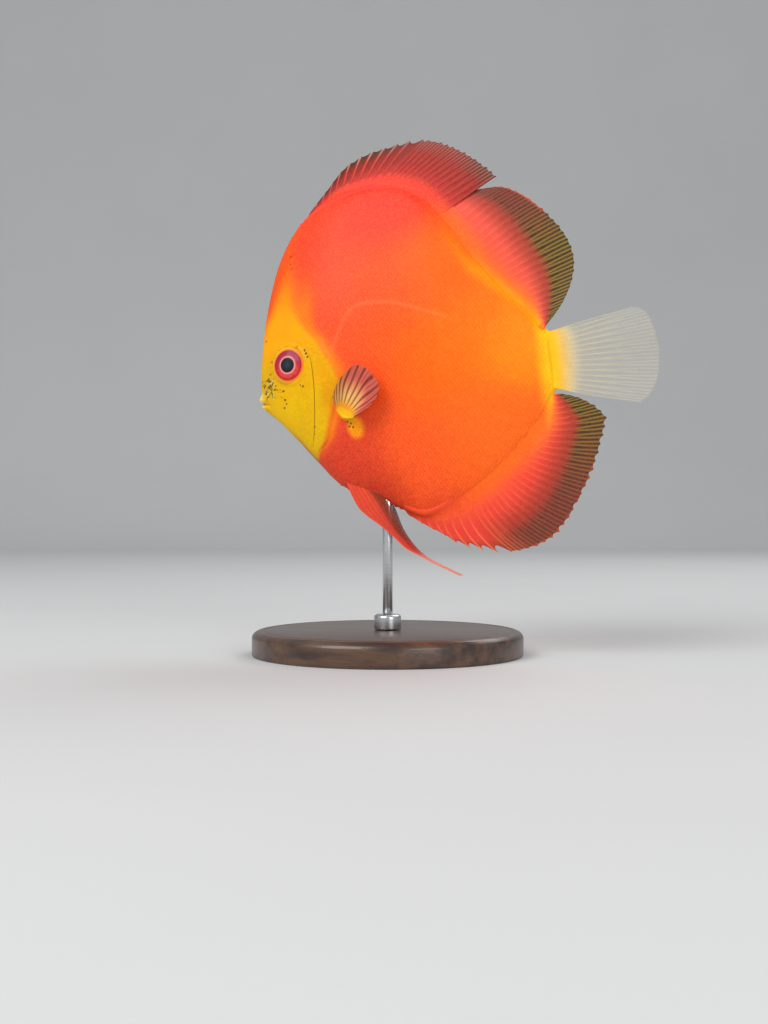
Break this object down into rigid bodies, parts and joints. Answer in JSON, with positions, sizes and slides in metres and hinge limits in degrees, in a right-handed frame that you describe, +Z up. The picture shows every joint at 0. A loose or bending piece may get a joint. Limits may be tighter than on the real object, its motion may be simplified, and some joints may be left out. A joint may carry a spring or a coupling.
{
  "type": "discus fish display model",
  "caption": "Still life-size model of a red and orange discus fish with a yellow face, as if swimming, on a round wooden base with a steel rod.",
  "frame": {"origin": "centre of the underside of the stand's round base", "axes": "+Z up, the fish heads along -X tipped seven degrees nose down, its left side faces -Y, and Y = 0 is its middle plane"},
  "size_m": [0.1657, 0.11, 0.2082],
  "materials": {
    "face_skin": "moist fish skin, satin, with fine dark specks near the mouth",
    "body_skin": "fine overlapping scales, satin, red-orange to orange",
    "eye": "clear wet dome over a pink-red iris and dark pupil",
    "fin_red": "thin satin membrane with raised rays and a dark striped margin",
    "fin_clear": "thin, nearly clear membrane with fine pale rays, yellow at its root",
    "stand_wood": "dark stained wood, satin varnish, turned edge",
    "stand_steel": "brushed steel"
  },
  "bodies": {
    "root": {"head": "face_skin", "lower_jaw": "face_skin", "gill_cover_left": "face_skin", "gill_cover_right": "face_skin", "trunk": "body_skin", "tail_stem": "body_skin", "eye_left": "eye", "eye_right": "eye", "dorsal_fin_front": "fin_red", "dorsal_fin_rear": "fin_red", "anal_fin_front": "fin_red", "anal_fin_rear": "fin_red", "caudal_fin": "fin_clear", "pectoral_fin_left": "fin_red", "pectoral_fin_right": "fin_red", "pelvic_fin_left": "fin_red", "pelvic_fin_right": "fin_red", "stand_base": "stand_wood", "stand_rod": "stand_steel", "stand_collar": "stand_steel"}
  },
  "joints": []
}
